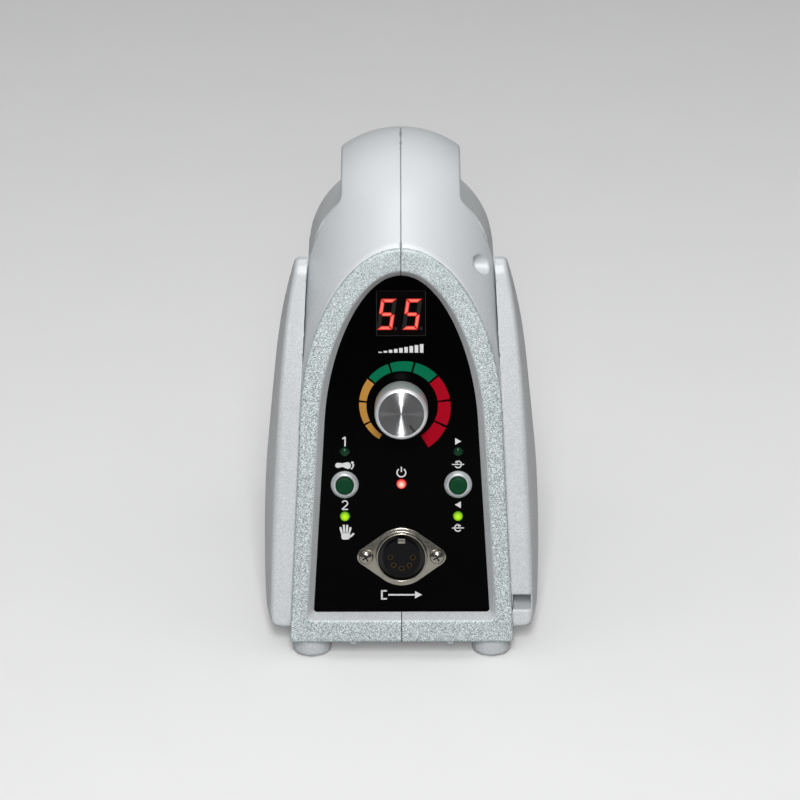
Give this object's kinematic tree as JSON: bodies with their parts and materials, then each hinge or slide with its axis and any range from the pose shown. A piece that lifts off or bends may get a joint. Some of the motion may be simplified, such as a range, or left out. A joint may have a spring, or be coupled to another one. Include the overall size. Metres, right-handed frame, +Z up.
{
  "type": "nail drill control unit",
  "caption": "Desktop nail drill control unit: silver moulded housing with arched front, carrying handle, domed side covers, speed knob, display, push buttons and output socket.",
  "frame": {"origin": "centre of the bounding box's footprint, on the floor under the foot pads", "axes": "+X to the viewer's right when facing the panel, +Y from the panel to the rear wall, +Z up"},
  "size_m": [0.0876, 0.128, 0.1533],
  "materials": {
    "silver_shell": "silver metallic paint, satin",
    "panel_black": "gloss",
    "black_plastic": "satin",
    "nickel": "nickel plated",
    "screw_steel": "zinc plated",
    "knob_aluminium": "turned and polished",
    "pad_rubber": "matte",
    "button_green": "gloss",
    "lamp_green": "clear",
    "lamp_red": "clear",
    "display_dark": "gloss",
    "board_green": "solder mask",
    "contact_brass": "bright",
    "core_iron": "varnished sheets",
    "bobbin_plastic": "satin",
    "winding_tape": "taped copper",
    "sleeve_blue": "shrink sleeve",
    "sink_aluminium": "anodised black",
    "fuse_glass": "clear"
  },
  "bodies": {
    "unit": {"left_housing": "silver_shell", "right_housing": "silver_shell", "left_side_cover": "silver_shell", "right_side_cover": "silver_shell", "housing_screws": "screw_steel", "cover_screws": "screw_steel", "foot_pads": "pad_rubber", "front_panel": "panel_black", "display_module": "display_dark", "control_board": "board_green", "board_spacers": "nickel", "board_screws": "screw_steel", "potentiometer_body": "black_plastic", "potentiometer_nut": "nickel", "mode_collar": "nickel", "mode_switch": "black_plastic", "direction_collar": "nickel", "direction_switch": "black_plastic", "mode_leds": "lamp_green", "direction_leds": "lamp_green", "power_led": "lamp_red", "socket_shell": "nickel", "socket_insert": "black_plastic", "socket_contacts": "contact_brass", "socket_screws": "screw_steel", "main_board": "board_green", "main_board_screws": "screw_steel", "filter_capacitors": "sleeve_blue", "bridge_rectifier": "black_plastic", "heat_sink": "sink_aluminium", "power_transistor": "black_plastic", "wire_headers": "bobbin_plastic", "transformer_core": "core_iron", "transformer_bobbin": "bobbin_plastic", "transformer_winding": "winding_tape", "transformer_strap": "nickel", "transformer_screws": "screw_steel", "rear_panel": "black_plastic", "switch_body": "black_plastic", "mains_inlet": "black_plastic", "inlet_pins": "contact_brass", "inlet_screws": "screw_steel", "fuse_holder": "black_plastic", "fuse_cap": "black_plastic", "fuse_link": "fuse_glass", "pedal_jack": "black_plastic", "pedal_jack_nut": "nickel"},
    "knob": {"speed_knob": "knob_aluminium", "knob_core": "black_plastic", "potentiometer_shaft": "nickel"},
    "mode_key": {"mode_button": "button_green"},
    "direction_key": {"direction_button": "button_green"},
    "rocker": {"power_rocker": "black_plastic"}
  },
  "joints": [
    {"name": "speed_turn", "type": "hinge", "parent": "unit", "child": "knob", "pos_m": [0, -0.04614, 0.07954], "axis": [0, -0.9816, 0.1908], "range_deg": [0, 290]},
    {"name": "mode_press", "type": "slide", "parent": "unit", "child": "mode_key", "axis": [0, 0.9816, -0.1908], "range_m": [0, 0.0012], "stiffness_N_per_m": 500, "springref_m": -0.001},
    {"name": "direction_press", "type": "slide", "parent": "unit", "child": "direction_key", "axis": [0, 0.9816, -0.1908], "range_m": [0, 0.0012], "stiffness_N_per_m": 500, "springref_m": -0.001},
    {"name": "power_rock", "type": "hinge", "parent": "unit", "child": "rocker", "pos_m": [0, 0.0578, 0.066], "axis": [0, 0, 1], "range_deg": [-20, 0]}
  ]
}
